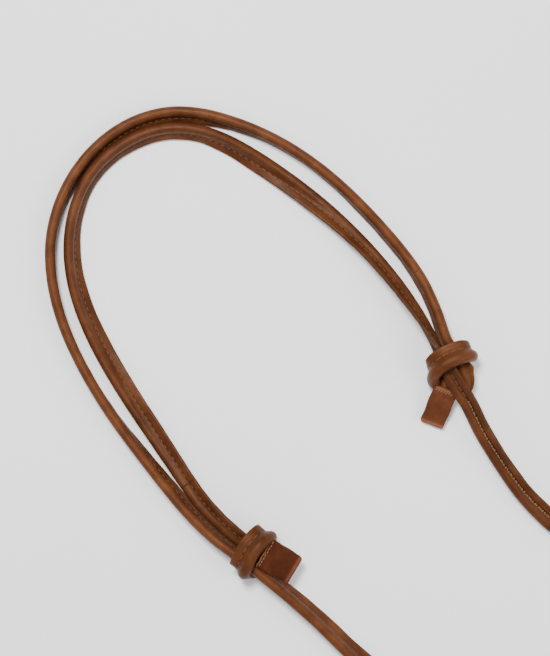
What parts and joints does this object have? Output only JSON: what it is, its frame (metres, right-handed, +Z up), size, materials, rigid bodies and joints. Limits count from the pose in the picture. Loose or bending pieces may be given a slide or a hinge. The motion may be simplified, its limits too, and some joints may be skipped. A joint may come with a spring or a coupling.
{
  "type": "knotted leather shoulder strap",
  "caption": "Adjustable bag strap of two rolled leather straps in a loop, each end tied in a sliding knot round the other, with folded tabs and swivel hooks.",
  "frame": {"origin": "centre of the footprint, on the table that the strap lies on", "axes": "+Y towards the top of the loop, +Z up from the table, +X to the right of the loop seen from above"},
  "size_m": [0.2733, 0.5891, 0.0362],
  "materials": {
    "strap_a_leather": "smooth satin",
    "strap_b_leather": "smooth satin",
    "tab_leather": "smooth satin",
    "chape_leather": "smooth satin",
    "core_cord": "twisted cord",
    "antique_brass": "antique"
  },
  "bodies": {
    "straps": {"strap_a_cover": "strap_a_leather", "strap_a_core": "core_cord", "strap_b_cover": "strap_b_leather", "strap_b_core": "core_cord", "hook_a_chape": "chape_leather", "hook_a_rivet": "antique_brass", "hook_b_chape": "chape_leather", "hook_b_rivet": "antique_brass"},
    "right_knot": {"strap_b_knot": "strap_b_leather", "strap_b_tab": "tab_leather"},
    "left_knot": {"strap_a_knot": "strap_a_leather", "strap_a_tab": "tab_leather"},
    "eye_a": {"hook_a_eye": "antique_brass"},
    "hook_a": {"hook_a_body": "antique_brass", "hook_a_gate_pin": "antique_brass"},
    "gate_a": {"hook_a_gate": "antique_brass"},
    "eye_b": {"hook_b_eye": "antique_brass"},
    "hook_b": {"hook_b_body": "antique_brass", "hook_b_gate_pin": "antique_brass"},
    "gate_b": {"hook_b_gate": "antique_brass"}
  },
  "joints": [
    {"name": "right_knot_slide", "type": "slide", "parent": "straps", "child": "right_knot", "axis": [-0.3834, -0.9236, 0], "range_m": [0, 0.02]},
    {"name": "left_knot_slide", "type": "slide", "parent": "straps", "child": "left_knot", "axis": [0.1819, -0.9833, 0], "range_m": [0, 0.02]},
    {"name": "eye_a_swing", "type": "hinge", "parent": "straps", "child": "eye_a", "pos_m": [0.08749, -0.24474, 0.0078], "axis": [0.9973, -0.0732, 0], "range_deg": [-45, 45]},
    {"name": "hook_a_swivel", "type": "hinge", "parent": "eye_a", "child": "hook_a", "pos_m": [0.08661, -0.25671, 0.0078], "axis": [-0.0732, -0.9973, 0], "continuous": true},
    {"name": "gate_a_open", "type": "hinge", "parent": "hook_a", "child": "gate_a", "pos_m": [0.09118, -0.26958, 0.0078], "axis": [0, 0, -1], "range_deg": [0, 28], "stiffness_Nm_per_rad": 0.02, "springref_deg": -11.46},
    {"name": "eye_b_swing", "type": "hinge", "parent": "straps", "child": "eye_b", "pos_m": [-0.09499, -0.22636, 0.0078], "axis": [0.9893, 0.1461, 0], "range_deg": [-45, 45]},
    {"name": "hook_b_swivel", "type": "hinge", "parent": "eye_b", "child": "hook_b", "pos_m": [-0.09323, -0.23824, 0.0078], "axis": [0.1461, -0.9893, 0], "continuous": true},
    {"name": "gate_b_open", "type": "hinge", "parent": "hook_b", "child": "gate_b", "pos_m": [-0.08597, -0.2498, 0.0078], "axis": [0, 0, -1], "range_deg": [0, 28], "stiffness_Nm_per_rad": 0.02, "springref_deg": -11.46}
  ]
}
